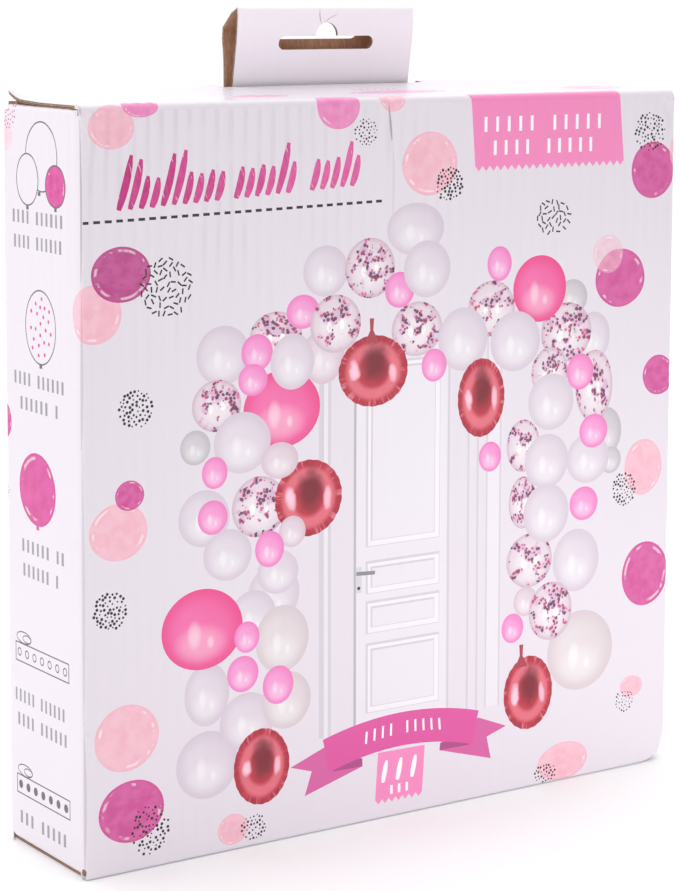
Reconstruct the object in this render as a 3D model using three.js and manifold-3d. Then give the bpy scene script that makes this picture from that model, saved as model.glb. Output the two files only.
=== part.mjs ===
// Closed retail carton of thin corrugated board, with a doubled hang tab standing up from its back panel.
// Millimetres, +Z up, front panel facing -Y. The origin is the middle of the underside.
// The blank is parted at its creases: body, top flap, hang tab and four dust flaps.
import * as THREE from 'three';
import Module from 'manifold-3d';
import { mergeVertices } from 'three/addons/utils/BufferGeometryUtils.js';

// ---- driving dimensions ----
const WIDTH = 300;          // outside, left to right
const DEPTH = 65;           // outside, front to back
const HEIGHT = 305;         // underside to the top flap's front crease
const BOARD = 1.6;          // fine-flute corrugated board
const GAP = 0.3;            // left between neighbouring solids
const CORNER_RADIUS = 2.4;  // outside of an upright crease

const FLAP_LIFT = 4.2;      // how far the top flap has sprung up at its back edge
const FLAP_INSET = 1.5;     // top flap short of the side panels, each side
const FLAP_BACK = 28.6;     // y of the top flap's back crease
const FLAP_BEND = 2;        // centreline radius of the top flap's front crease
const TONGUE_LENGTH = 15;   // tucked down behind the back crease
const TONGUE_INSET = 4;     // tongue short of the flap's own ends
const NOTCH_WIDTH = 102;    // opening in the top flap for the hang tab
const NOTCH_FRONT = 22.5;   // y of the notch's front edge

const DUST_LENGTH = 60;     // reach of a dust flap in from the side panel
const DUST_BEND = 1;        // centreline radius where it folds over

const TAB_CENTRE = -1;      // x of the hang tab's middle
const TAB_WIDTH = 90;
const TAB_TOP = 342.6;      // z where its two leaves meet, before the fold is rounded
const SLOT_LENGTH = 48.4;   // hang slot, end to end
const SLOT_HEIGHT = 5.7;
const SLOT_Z = 326.4;       // its middle on the front leaf
const NOTCH_RADIUS = 5.7;   // half-round hook notch over the slot

// ---- levels worked out from them ----
const half = BOARD / 2;
const frontMid = -DEPTH / 2 + half;                 // y of the front panel's middle layer
const backMid = DEPTH / 2 - half;
const sideMid = WIDTH / 2 - half;
const flapMid = HEIGHT - half;                      // z of the top flap's middle layer at its front
const hinge = [frontMid, flapMid - FLAP_BEND];      // y, z of the line that the top flap turns on
const dustMid = HEIGHT - BOARD - GAP - half;        // z of the upper dust flaps' middle layer
const flapStart = hinge[1] - 3 * GAP;               // z where the top flap begins, over the front wall
const turning = Math.hypot(half, flapStart - hinge[1]);     // what its lower corners sweep
const wallTop = Math.min(dustMid - DUST_BEND, hinge[1] - turning) - GAP;    // front and side walls
const backTop = HEIGHT - 1;                         // the back wall reaches up beside the tongue

const wasm = await Module();
wasm.setup();

// ---- helpers ----
function toSolid(geometry) {
  const bare = geometry.clone();
  bare.deleteAttribute('normal');
  bare.deleteAttribute('uv');
  const merged = mergeVertices(bare, 1e-4);
  return new wasm.Manifold(new wasm.Mesh({
    numProp: 3,
    vertProperties: new Float32Array(merged.attributes.position.array),
    triVerts: new Uint32Array(merged.index.array),
  }));
}

function toGeometry(solid) {
  const mesh = solid.getMesh();
  const geometry = new THREE.BufferGeometry();
  geometry.setAttribute('position', new THREE.BufferAttribute(new Float32Array(mesh.vertProperties), 3));
  geometry.setIndex(new THREE.BufferAttribute(new Uint32Array(mesh.triVerts), 1));
  geometry.computeVertexNormals();
  return geometry;
}

const box = (low, high) => {
  const size = high.map((value, i) => value - low[i]);
  const geometry = new THREE.BoxGeometry(...size);
  return geometry.translate(...low.map((value, i) => value + size[i] / 2));
};

// A flat outline drawn in two of the axes and carried straight along the third.
const ALONG = {
  x: new THREE.Matrix4().makeBasis(
    new THREE.Vector3(0, 1, 0), new THREE.Vector3(0, 0, 1), new THREE.Vector3(1, 0, 0)),
  y: new THREE.Matrix4().makeBasis(
    new THREE.Vector3(0, 0, 1), new THREE.Vector3(1, 0, 0), new THREE.Vector3(0, 1, 0)),
};

function carry(outline, axis, from, to) {
  const options = { depth: to - from, bevelEnabled: false, curveSegments: 8 };
  const geometry = new THREE.ExtrudeGeometry(outline, options).translate(0, 0, from);
  return geometry.applyMatrix4(ALONG[axis]);
}

// The middle line of a folded board: straight runs, with an arc of the given radius at each crease.
function foldedLine(stations) {
  const points = [];
  stations.forEach(([a, b, radius = 0, steps = 5], i) => {
    const here = new THREE.Vector2(a, b);
    if (radius === 0) {
      points.push(here);
      return;
    }
    const arriving = here.clone().sub(new THREE.Vector2(...stations[i - 1])).normalize();
    const leaving = new THREE.Vector2(...stations[i + 1]).sub(here).normalize();
    const turn = Math.atan2(arriving.cross(leaving), arriving.dot(leaving));
    const start = here.clone().addScaledVector(arriving, -radius * Math.tan(Math.abs(turn) / 2));
    const inward = new THREE.Vector2(-arriving.y, arriving.x).multiplyScalar(Math.sign(turn));
    const centre = start.clone().addScaledVector(inward, radius);
    for (let step = 0; step <= steps; step += 1) {
      points.push(start.clone().rotateAround(centre, (turn * step) / steps));
    }
  });
  return points;
}

// The board's two faces, half its thickness either side of that line.
function boardOutline(line) {
  const normals = line.map((point, i) => {
    const before = line[Math.max(i - 1, 0)];
    const after = line[Math.min(i + 1, line.length - 1)];
    const arriving = point.clone().sub(before).normalize();
    const leaving = after.clone().sub(point).normalize();
    const along = arriving.add(leaving).normalize();
    return new THREE.Vector2(-along.y, along.x);
  });
  const face = (side) => line.map((point, i) => point.clone().addScaledVector(normals[i], side * half));
  return new THREE.Shape([...face(1), ...face(-1).reverse()]);
}

function roundedRectangle(width, depth, radius) {
  const [a, b, pi] = [width / 2 - radius, depth / 2 - radius, Math.PI];
  const shape = new THREE.Shape();
  shape.absarc(a, b, radius, 0, pi / 2);
  shape.absarc(-a, b, radius, pi / 2, pi);
  shape.absarc(-a, -b, radius, pi, 1.5 * pi);
  shape.absarc(a, -b, radius, 1.5 * pi, 2 * pi);
  return shape;
}

// ---- the pieces ----
function body() {
  const prism = (shape, from, to) => {
    const options = { depth: to - from, bevelEnabled: false, curveSegments: 5 };
    return toSolid(new THREE.ExtrudeGeometry(shape, options).translate(0, 0, from));
  };
  const outside = prism(roundedRectangle(WIDTH, DEPTH, CORNER_RADIUS), 0, backTop);
  const hollowShape = roundedRectangle(WIDTH - 2 * BOARD, DEPTH - 2 * BOARD, CORNER_RADIUS - BOARD);
  const hollow = prism(hollowShape, BOARD, backTop + 1);
  const overWalls = box([-WIDTH, -DEPTH, wallTop], [WIDTH, backMid - half - GAP, backTop + 1]);
  return toGeometry(outside.subtract(hollow).subtract(toSolid(overWalls)));
}

function topFlap() {
  const line = foldedLine([
    [frontMid, flapStart],
    [frontMid, flapMid, FLAP_BEND],
    [0, flapMid + FLAP_LIFT * 0.4],
    [FLAP_BACK, flapMid + FLAP_LIFT, 1.4],
    [FLAP_BACK + 0.7, flapMid + FLAP_LIFT - TONGUE_LENGTH],
  ]);
  const reach = WIDTH / 2 - FLAP_INSET;
  const sheet = toSolid(carry(boardOutline(line), 'x', -reach, reach));
  const left = TAB_CENTRE - NOTCH_WIDTH / 2;
  const floor = wallTop - TONGUE_LENGTH;
  let flap = sheet.subtract(toSolid(box([left, NOTCH_FRONT, floor], [left + NOTCH_WIDTH, DEPTH, TAB_TOP])));
  for (const end of [-1, 1]) {
    const edges = [end * (reach - TONGUE_INSET), end * WIDTH];
    const low = [Math.min(...edges), FLAP_BACK - BOARD, floor];
    const high = [Math.max(...edges), DEPTH, flapMid + FLAP_LIFT - BOARD];
    flap = flap.subtract(toSolid(box(low, high)));
  }
  return toGeometry(flap);
}

function hangTab() {
  const crease = [backMid + 1.9, TAB_TOP - 10.8];
  const fold = [backMid - 10.7, TAB_TOP];
  const line = foldedLine([
    [backMid, backTop + GAP],
    [backMid + 0.2, HEIGHT + 15],
    [...crease, 1.2, 3],
    [...fold, 1.1, 6],
    [fold[0] + 1, SLOT_Z + 2.6],
    [backMid - 6, HEIGHT + 2.8],
    [backMid - 2.8, HEIGHT - 26],
  ]);
  const left = TAB_CENTRE - TAB_WIDTH / 2;
  let tab = toSolid(carry(boardOutline(line), 'x', left, left + TAB_WIDTH));

  // The same cut-out in both leaves, mirrored about the fold. The back one lies on that leaf's
  // crease, so its upper half and its notch look lower when seen along Y.
  const rise = (fold[1] - crease[1]) / Math.hypot(fold[0] - crease[0], fold[1] - crease[1]);
  const between = (fold[0] + crease[0]) / 2;
  const frontCut = slotOutline(SLOT_Z, SLOT_HEIGHT, NOTCH_RADIUS);
  const backLow = crease[1] - SLOT_HEIGHT / 2;
  const backHigh = crease[1] + (SLOT_HEIGHT / 2) * rise;
  const backCut = slotOutline((backLow + backHigh) / 2, backHigh - backLow, NOTCH_RADIUS * rise);
  tab = tab.subtract(toSolid(carry(frontCut, 'y', 0, between)));
  tab = tab.subtract(toSolid(carry(backCut, 'y', between, DEPTH)));
  return toGeometry(tab);
}

// Round-ended slot with a hook notch on its upper edge, drawn as (z, x) to be carried along Y.
function slotOutline(middle, height, notchHeight) {
  const [radius, pi] = [height / 2, Math.PI];
  const [left, right] = [-1, 1].map((side) => TAB_CENTRE + side * (SLOT_LENGTH / 2 - radius));
  const shape = new THREE.Shape();
  shape.absarc(middle, left, radius, -pi, 0);
  shape.absellipse(middle + radius, TAB_CENTRE, notchHeight, NOTCH_RADIUS, -pi / 2, pi / 2);
  shape.absarc(middle, right, radius, 0, pi);
  return shape;
}

function upperDustFlap(side) {
  const line = foldedLine([
    [side * sideMid, wallTop + GAP],
    [side * sideMid, dustMid, DUST_BEND],
    [side * (WIDTH / 2 - DUST_LENGTH), dustMid],
  ]);
  // Drawn as (x, z); the outline wants (z, x) to be carried along Y.
  const outline = boardOutline(line.map((point) => new THREE.Vector2(point.y, point.x)));
  return carry(outline, 'y', -DEPTH / 2 + 3, FLAP_BACK - 1.2);
}

function lowerDustFlap(side) {
  const [near, far] = [WIDTH / 2 - BOARD - GAP, WIDTH / 2 - DUST_LENGTH].map((x) => side * x);
  const reach = DEPTH / 2 - BOARD - GAP;
  const low = [Math.min(near, far), -reach, BOARD + GAP];
  const high = [Math.max(near, far), reach, 2 * BOARD + GAP];
  return box(low, high);
}

// ---- the carton ----
const board = (color, roughness) => new THREE.MeshStandardMaterial({ color, roughness, metalness: 0 });
const carton = new THREE.Group();

function add(name, geometry, material) {
  const mesh = new THREE.Mesh(geometry, material);
  mesh.name = name;
  carton.add(mesh);
}

add('carton_body', body(), board(0xf0ecf2, 0.3));
add('top_flap', topFlap(), board(0xf4f1f5, 0.25));
add('hang_tab', hangTab(), board(0xeee6ef, 0.4));
for (const [name, side] of [['left', -1], ['right', 1]]) {
  add(`upper_dust_flap_${name}`, upperDustFlap(side), board(0xece8ee, 0.4));
  add(`lower_dust_flap_${name}`, lowerDustFlap(side), board(0x9a7457, 0.9));
}

export default carton;
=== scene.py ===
# %% [markdown]
# # A corrugated hanging carton, printed, folded and worn
#
# A retail carton starts as one flat sheet of corrugated board. The picture is printed on the
# sheet first, then the blank is cut, creased, folded and glued. This lesson follows that order:
# inks on a flat blank, panels cut from it, folds that carry each panel to its place, and last the
# thickness of the board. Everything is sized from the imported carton, which is loaded first.

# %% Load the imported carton
import math
import random

import bmesh
import bpy
import numpy as np
from mathutils import Matrix, Vector
from mathutils.geometry import delaunay_2d_cdt


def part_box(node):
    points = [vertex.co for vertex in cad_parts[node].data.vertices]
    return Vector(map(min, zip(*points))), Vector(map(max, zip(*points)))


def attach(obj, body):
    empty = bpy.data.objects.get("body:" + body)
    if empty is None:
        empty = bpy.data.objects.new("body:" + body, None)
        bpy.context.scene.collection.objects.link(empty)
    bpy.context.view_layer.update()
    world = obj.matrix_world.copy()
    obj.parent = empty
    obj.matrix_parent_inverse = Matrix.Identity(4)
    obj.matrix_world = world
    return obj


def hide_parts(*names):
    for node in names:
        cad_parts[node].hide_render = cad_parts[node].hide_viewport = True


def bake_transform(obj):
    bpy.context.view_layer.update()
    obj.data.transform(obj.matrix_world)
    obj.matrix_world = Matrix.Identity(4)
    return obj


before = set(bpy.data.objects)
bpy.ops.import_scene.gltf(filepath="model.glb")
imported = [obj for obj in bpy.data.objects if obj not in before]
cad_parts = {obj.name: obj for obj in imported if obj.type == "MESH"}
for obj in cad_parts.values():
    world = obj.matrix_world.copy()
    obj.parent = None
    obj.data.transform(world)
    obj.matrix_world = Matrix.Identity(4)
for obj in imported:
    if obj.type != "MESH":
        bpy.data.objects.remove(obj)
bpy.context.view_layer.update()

# %% [markdown]
# ## Sizes
#
# Board is easiest to think about in millimetres, so the lesson works in millimetres and turns to
# metres only when a mesh is finished. The panels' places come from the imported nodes, and
# LID_FOOT is where the top flap's crease begins. The board's own values, its thickness, how
# tightly it creases and how far apart its flutes and ripples are, are the board maker's. On the
# flat blank the front's middle is at 0, a side's middle SIDE_MIDDLE from it, and the back's twice
# as far.

# %% Sizes of the panels and of the board
TO_METRES = 0.001


def box_in_mm(node):
    """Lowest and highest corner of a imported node, in millimetres."""
    low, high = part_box(node)
    return low / TO_METRES, high / TO_METRES


body_high = box_in_mm("carton_body")[1]
lid_low, lid_high = box_in_mm("top_flap")
tab_low, tab_high = box_in_mm("hang_tab")
upper_high = box_in_mm("upper_dust_flap_left")[1]
lower_low = box_in_mm("lower_dust_flap_left")[0]
HALF_WIDTH = body_high.x
HALF_DEPTH = body_high.y
BACK_TOP = body_high.z
LID_FOOT = 300.7
BOARD = 1.6
HALF_BOARD = BOARD / 2
CORNER = 2.4
CREASE = 1.8
FLUTE_PITCH = 3.3
RIPPLE_PITCH = 6.3
SIDE_MIDDLE = 181.5
BACK_MIDDLE = 2 * SIDE_MIDDLE
print("half width", HALF_WIDTH, "half depth", HALF_DEPTH, "lid height", round(lid_high.z, 1))

# %% [markdown]
# ## The camera
#
# The carton is seen from its front left, from a little above the top flap, through a long lens.
# A product photographer keeps upright edges upright by tilting the camera little and shifting
# the lens instead. Blender's camera has the same shift, and a small one is enough here.

# %% Place the camera
CAMERA_PLACE = Vector((-618.3, -902.5, 348.1))
CAMERA_TURN = 34.06
CAMERA_DIP = 6.48
CAMERA_ROLL = 0.18
camera_data = bpy.data.cameras.new("camera")
camera_data.lens = 104.5
camera_data.sensor_width = 36
camera_data.shift_y = -0.18
camera_data.clip_start = 0.05
camera_data.clip_end = 400
camera = bpy.data.objects.new("camera", camera_data)
bpy.context.scene.collection.objects.link(camera)
turn = Matrix.Rotation(-math.radians(CAMERA_TURN), 4, "Z")
dip = Matrix.Rotation(math.radians(90 - CAMERA_DIP), 4, "X")
roll = Matrix.Rotation(math.radians(CAMERA_ROLL), 4, "Z")
camera.matrix_world = Matrix.Translation(CAMERA_PLACE * TO_METRES) @ turn @ dip @ roll
bpy.context.scene.camera = camera
bpy.context.scene.view_settings.view_transform = "Standard"
print("camera at", [round(x, 3) for x in camera.location])

# %% [markdown]
# ## Inks
#
# Every printed mark is a closed outline on the flat blank with a colour, how well it covers what
# is under it, and a place of its own, from -1 to 1 across the mark, which the ink's material uses
# for soft shading. An image could hold all this, but outlines stay crisp at any size and are
# easy to list, so the print is made of outlines.

# %% An ink, and how colours are written
def colour(red, green, blue):
    """A screen colour from 0 to 255 as the linear values that the renderer uses."""
    shares = [channel / 255 for channel in (red, green, blue)]
    return [c / 12.92 if c <= 0.04045 else ((c + 0.055) / 1.055) ** 2.4 for c in shares]


BOARD_WHITE = colour(228, 220, 229)
PLAIN = (0, 0, 0, 0)
BALL, FOIL, CONFETTI, BRUSH = (1, 0, 0, 0), (0, 1, 0, 0), (0, 0, 1, 0), (0, 0, 0, 1)
blank_inks = []
dice = random.Random(7)


def ink(outline, tint, kind=PLAIN, cover=1.0, inks=blank_inks):
    """Adds one printed mark over those before it."""
    across = [u for u, v in outline]
    along = [v for u, v in outline]
    middle = ((min(across) + max(across)) / 2, (min(along) + max(along)) / 2)
    half = ((max(across) - min(across)) / 2, (max(along) - min(along)) / 2)
    inks.append({"outline": outline, "tint": tint, "kind": kind, "cover": cover,
                 "middle": middle, "half": half, "seed": dice.uniform(0, 40)})


def rounded(u, v, width, height, wobble=0.0, steps=40):
    """The outline of a ball or of a hand-painted dot."""
    lumps = [(k, dice.uniform(0, math.tau), dice.uniform(0.3, 1) / k) for k in (2, 3, 5)]
    outline = []
    for step in range(steps):
        angle = math.tau * step / steps
        swell = 1 + wobble * sum(size * math.sin(k * angle + start) for k, start, size in lumps)
        across, up = swell * math.cos(angle), swell * math.sin(angle)
        outline.append((u + width / 2 * across, v + height / 2 * up))
    return outline


def bar(u, v, width, height, lean=0.0):
    """A small upright box, leaning by an angle in degrees."""
    c, s = math.cos(math.radians(lean)), math.sin(math.radians(lean))
    a, b = width / 2, height / 2
    return [(u + a * c + b * s, v - a * s + b * c) for a, b in [(-a, -b), (a, -b), (a, b), (-a, b)]]


def moved(outline, across):
    """The outline moved across the blank."""
    return [(across + u, v) for u, v in outline]


def brush_stroke(u, v, length, width, lean, bow=0.0, taper=0.6, steps=14):
    """A tapered stroke of a brush round a bowed spine."""
    c, s = math.cos(math.radians(lean)), math.sin(math.radians(lean))
    there = []
    back = []
    for step in range(steps + 1):
        share = step / steps
        run = (share - 0.5) * length
        side = bow * math.sin(math.pi * share)
        half = width / 2 * max(math.sin(math.pi * min(share + 0.04, 1)), 0.05) ** taper
        there.append((u + (side - half) * c + run * s, v - (side - half) * s + run * c))
        back.append((u + (side + half) * c + run * s, v - (side + half) * s + run * c))
    return back + there[::-1]


print("inks are outlines in millimetres on the flat blank")

# %% [markdown]
# ## Dots all round the carton
#
# The background is a loose scatter of painted dots in magenta and pale pink, with small circles
# filled with black dashes or specks, and at the left side's upper corner with magenta ones. The
# pale dots are thin paint, so what is under them shows.
# Dots run over the creases, because the blank is printed before it is folded: on the blank the
# left side lies just left of the front, and the top flap just above it. Each dot is given by its
# middle, across and up, its width and its height.

# %% Painted dots on the front, the left side and the top flap
MAGENTA = colour(211, 68, 154)
DEEP_MAGENTA = colour(190, 50, 138)
PALE_PINK = colour(243, 192, 206)
WARM_PINK = colour(238, 130, 190)
BLACK = colour(43, 42, 45)
HAND_WOBBLE = 0.03


def painted_dots(tint, cover, places):
    """One hand-painted dot for each (across, up, width, height)."""
    for u, v, width, height in places:
        ink(rounded(u, v, width, height, HAND_WOBBLE), tint, BRUSH, cover)


painted_dots(PALE_PINK, 1.0, [
    (-136, 296, 20, 17), (-144, 224, 24, 23), (-134, 138, 26, 23), (-131, 55, 29, 27),
    (-82, 9, 14, 13), (15, 277, 28, 27), (134, 137, 22, 25), (129, 37, 13, 10), (90, 9, 28, 17),
    (-4, 305, 13, 12)])
painted_dots(WARM_PINK, 0.85, [(-123, 304, 16, 9), (-31, 302, 21, 19)])
painted_dots(MAGENTA, 0.9, [
    (-129, 152, 13, 12), (-129, 25, 30, 25), (137, 270, 25, 25), (119, 223, 28, 26),
    (142, 178, 18, 18), (136, 88, 27, 29)])
painted_dots(DEEP_MAGENTA, 0.9, [(-132, 239, 26, 22)])
painted_dots(PALE_PINK, 0.5, [(112, 234, 17, 17)])
print(len(blank_inks), "painted dots")

# %% Circles filled with dashes or with specks
def scattered(u, v, width, height, gap, count):
    """Seeded places inside a circle, each at least one gap from the others."""
    places = []
    for _ in range(count * 30):
        angle, reach = dice.uniform(0, math.tau), math.sqrt(dice.uniform(0, 1))
        here = (u + width / 2 * reach * math.cos(angle), v + height / 2 * reach * math.sin(angle))
        if all(math.dist(here, other) > gap for other in places):
            places.append(here)
        if len(places) == count:
            break
    return places


def dash_circle(u, v, width, height):
    """Short black dashes at all angles."""
    for a, b in scattered(u, v, width, height, 2.2, 64):
        ink(bar(a, b, 0.7, 2.3, dice.uniform(0, 180)), BLACK)


def speck_circle(u, v, width, height):
    """Small round black specks of three sizes, finer in a small circle."""
    for a, b in scattered(u, v, width, height, 1.35, 70):
        size = dice.choice((0.8, 1.1, 1.4)) * min(width / 14, 1)
        ink(rounded(a, b, size, size, steps=6), BLACK)


for circle in [(-112, 233, 23, 23), (81, 252, 18, 15)]:
    dash_circle(*circle)
for circle in [(-126, 186, 15, 15), (-138, 107, 15, 15), (-121, 16, 18, 20), (-72, 8, 12, 11),
               (-17.5, 291, 11, 11), (25, 268, 14, 14), (135, 287, 17, 17), (123, 128, 13, 15),
               (125, 31, 10, 10), (80, 5, 12, 8)]:
    speck_circle(*circle)
painted_dots(PALE_PINK, 0.45, [(-212, 291, 14, 13)])
for a, b in scattered(-209, 300, 15, 13, 1.5, 44):
    ink(rounded(a, b, 0.9, 0.9, steps=6), DEEP_MAGENTA)
print(len(blank_inks), "inks after the circles")

# %% [markdown]
# ## The door in the picture
#
# Behind the garland the picture shows a white panelled door in its frame. It is only a few greys:
# each panel is a light outline with a darker line on one side, as light falls on a moulding.

# %% The door and its frame
DOOR = colour(233, 227, 235)
DOOR_LINE = colour(212, 205, 213)
DOOR_SHADE = colour(186, 178, 188)
for from_left, to_right, tint in [
        (-40, -34, DOOR_LINE), (-37.5, -35.5, DOOR), (-22, 26, DOOR), (-22.6, -21.4, DOOR_SHADE),
        (25.4, 26.6, DOOR_LINE), (36, 37, DOOR_LINE), (41, 42, DOOR_LINE), (46, 54, DOOR),
        (46, 46.8, DOOR_LINE), (53.2, 54, DOOR_LINE)]:
    ink(bar((from_left + to_right) / 2, 122, to_right - from_left, 164), tint)
for middle, width, height in [(157, 38, 78), (105, 38, 14), (88, 38, 14), (62, 38, 30)]:
    ink(bar(2.5, middle, width, height), DOOR_LINE)
    ink(bar(2.9, middle - 0.4, width - 1.4, height - 1.4), colour(241, 235, 242))
    ink(bar(2.5, middle, width - 5, height - 5), DOOR_LINE)
    ink(bar(2.8, middle - 0.3, width - 6.2, height - 6.2), DOOR)
ink(bar(-20, 104.5, 3, 11), colour(214, 210, 220))
ink(bar(-16.5, 107, 9.5, 1.6, lean=3), colour(140, 136, 146))
ink(rounded(-20, 101, 1.6, 1.6, steps=8), BLACK)
print("door drawn,", len(blank_inks), "inks")

# %% [markdown]
# ## The balloons in the picture
#
# The garland is laid out as the picture shows it, from the back to the front: pale balloons
# behind, clear ones with confetti, more pale ones, the big pink and foil ones, and small pink
# balloons tucked in last. Each one is only an outline and a kind: the ink's material shades it.
# A foil balloon's outline bows out a little between the gathers of its seam, and its neck sticks
# out at the top.

# %% Lay out the garland from back to front
WHITE_BALL = colour(226, 216, 226)
GREY_BALL = colour(212, 206, 212)
PEARL_BALL = colour(226, 216, 220)
CLEAR_BALL = colour(226, 210, 220)
HOT_BALL = colour(240, 112, 172)
ROSE_BALL = colour(243, 160, 212)
FOIL_BALL = colour(186, 46, 66)
BALL_WOBBLE = 0.008


def seamed(outline, u, v, gathers=22, depth=0.016):
    """A foil seam's edge: small bows outward between the gathers."""
    edge = []
    for step, (a, b) in enumerate(outline):
        swell = 1 - depth + depth * abs(math.sin(math.pi * gathers * step / len(outline)))
        edge.append((u + (a - u) * swell, v + (b - v) * swell))
    return edge


def balloons(kind, tint, places):
    """One balloon for each (across, up, width, height)."""
    for u, v, width, height in places:
        if kind == FOIL:
            outline = seamed(rounded(u, v, width, height, BALL_WOBBLE, steps=110), u, v)
        else:
            outline = rounded(u, v, width, height, BALL_WOBBLE)
        ink(outline, tint, kind)


balloons(BALL, GREY_BALL, [(92, 216, 17, 16), (112, 155, 18, 22), (115, 142, 12, 12)])
balloons(BALL, CLEAR_BALL, [(-38, 200, 21, 23)])
balloons(BALL, WHITE_BALL, [
    (-37, 235, 22, 21), (8, 250, 29, 22), (104, 198, 19, 22), (96, 99, 26, 28), (-86, 204, 25, 24),
    (-62, 104, 25, 25), (-94, 67, 21, 26), (-95, 139, 24, 23), (102, 144, 24, 22), (-72, 96, 22, 22)])
balloons(CONFETTI, CLEAR_BALL, [
    (-15, 235, 25, 25), (48, 214, 25, 24), (-61, 210, 25, 20), (89, 201, 28, 26), (105, 176, 21, 32),
    (80, 184, 20, 22), (66, 153, 18, 23), (66, 128, 15, 23), (70, 102, 25, 24)])
balloons(BALL, ROSE_BALL, [(0, 225, 15, 15), (-48, 219, 16, 14)])
balloons(CONFETTI, CLEAR_BALL, [
    (-32, 213, 25, 24), (9, 208, 26, 23), (-89, 184, 23, 21), (-69, 141, 26, 25)])
balloons(FOIL, FOIL_BALL, [(-45, 142, 33, 32)])
balloons(BALL, HOT_BALL, [(-58, 180, 37, 32), (74, 221, 29, 29), (-96, 94, 38, 33)])
balloons(BALL, ROSE_BALL, [(-70, 204, 15, 15), (-72, 193, 14, 13)])
balloons(BALL, WHITE_BALL, [
    (14, 233, 24, 24), (33, 202, 26, 27), (61, 199, 27, 26), (-53, 199, 21, 23), (-77, 168, 27, 25),
    (81, 171, 25, 25), (79, 145, 24, 24), (79, 122, 25, 26), (-84, 123, 23, 21), (-94, 38, 29, 28),
    (-75, 53, 26, 24), (-60, 113, 20, 18)])
balloons(BALL, GREY_BALL, [(-99, 168, 14, 14)])
balloons(BALL, CLEAR_BALL, [(-59, 159, 18, 15), (-53, 129, 13, 13), (68, 84, 13, 13)])
balloons(FOIL, FOIL_BALL, [
    (-13, 192, 35, 30), (43, 176, 25, 34), (-68, 33, 27, 32), (70, 43, 27, 33)])
balloons(BALL, PEARL_BALL, [(99, 58, 37, 36), (-58, 85, 26, 28), (-56, 59, 24, 24)])
balloons(CONFETTI, CLEAR_BALL, [(82, 78, 24, 26)])
balloons(BALL, ROSE_BALL, [
    (-77, 73, 15, 15), (-60, 66, 15, 16), (-75, 88, 12, 13), (-64, 123, 14, 15), (-91, 139, 14, 14),
    (-90, 157, 12, 13), (52, 233, 13, 15), (18, 192, 13, 14), (97, 183, 15, 16), (48, 150, 12, 13),
    (105, 156, 16, 15), (100, 124, 16, 15), (61, 73, 12, 13)])
for u, v in [(-14, 210), (66, 61)]:
    neck = [(-3.5, -6), (3.5, -6), (0.8, -1), (1.1, 4), (-1.1, 4), (-0.8, -1)]
    ink([(u + a, v + b) for a, b in neck], colour(170, 62, 78))
print("garland laid out,", len(blank_inks), "inks")

# %% [markdown]
# ## Title, banner and ribbon
#
# The carton carries wording in three places. Here each line of wording is a row of shallow
# strokes that spell nothing: leaning brush strokes for the title, upright bars on the banner
# and the ribbon. The banner's lower edge and the ribbon's little tag are cut in zigzags.

# %% Title strokes and the dashed line under them
TITLE_INK = colour(196, 52, 132)
TITLE_PALE = colour(226, 104, 168)
TITLE_START, TITLE_LENGTH, TITLE_FOOT = -133, 115, 263.5
STROKE_STEP = 4.9
title_groups = [(TITLE_START, [22, 20, 13, 12, 21, 22, 13, 12, 13, 12]),
                (-80, [13, 12, 13, 12, 21, 13]), (-44, [13, 12, 13, 19, 13])]
for start, heights in title_groups:
    for place, height in enumerate(heights):
        u = start + STROKE_STEP * place
        foot = TITLE_FOOT + 0.05 * (u - TITLE_START + 1)
        share = (u - TITLE_START) / TITLE_LENGTH + 0.18 * (place % 2)
        tint = [a + (b - a) * min(share, 1) for a, b in zip(TITLE_INK, TITLE_PALE)]
        stroke = brush_stroke(u + height * 0.13, foot + height / 2, height, 3.3, 15, bow=0.5, taper=0.25)
        ink(stroke, tint, BRUSH)
for place in range(29):
    ink(bar(-147.2 + 4.87 * place, 259.6 + 0.1 * place, 2.9, 1.15), BLACK)
print("title and dashed line:", len(blank_inks), "inks")

# %% Banner with a zigzag hem and two rows of bars
BANNER = colour(242, 138, 190)
INK_WHITE = colour(250, 246, 250)


def zigzag(start, end, teeth, drop):
    """A line from start to end with pointed teeth that hang below it."""
    line = [start]
    for half_tooth in range(1, 2 * teeth + 1):
        share = half_tooth / (2 * teeth)
        hang = drop * (half_tooth % 2)
        u = start[0] + (end[0] - start[0]) * share
        line.append((u, start[1] + (end[1] - start[1]) * share - hang))
    return line


ink([(117, 308), (36, 308)] + zigzag((38.5, 275), (120, 275), 21, 2.2), BANNER)
banner_rows = [(292.5, 12, 44, 112, 6.4), (282.5, 11, 49, 107, 6.2)]
for row, (v, count, first, last, tall) in enumerate(banner_rows):
    for place in range(count):
        u = first + (last - first) * place / (count - 1)
        if (place + row) % 6 != 5:
            ink(bar(u, v, 1.5, tall), INK_WHITE)
print("banner:", len(blank_inks), "inks")

# %% Ribbon with folded tails and a tag
RIBBON = colour(219, 84, 158)
RIBBON_TAIL = colour(212, 96, 160)
RIBBON_FOLD = colour(172, 72, 132)
ink([(-54, 30), (-37, 36), (-18, 28), (-18, 24.6), (-47, 16.7), (-43.5, 26.7)], RIBBON_TAIL)
ink([(58, 30), (43, 36), (22.4, 28), (22.1, 24.9), (49.8, 16.8), (47.4, 26.8)], RIBBON_TAIL)
ink([(-35.7, 29), (-32.5, 24.8), (-18, 24.6), (-18, 28)], RIBBON_FOLD)
ink([(40.5, 29), (38, 24.8), (22.1, 24.9), (22.4, 28)], RIBBON_FOLD)
ribbon_top = []
ribbon_hem = []
for step in range(17):
    share = step / 16
    arch = 4 * share * (1 - share)
    ribbon_top.append((-38 + 81 * share, 39.2 + 5.6 * arch))
    ribbon_hem.append((-34.5 + 74 * share, 24.8 + 5.4 * arch))
ink(ribbon_top + ribbon_hem[::-1], RIBBON)
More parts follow.
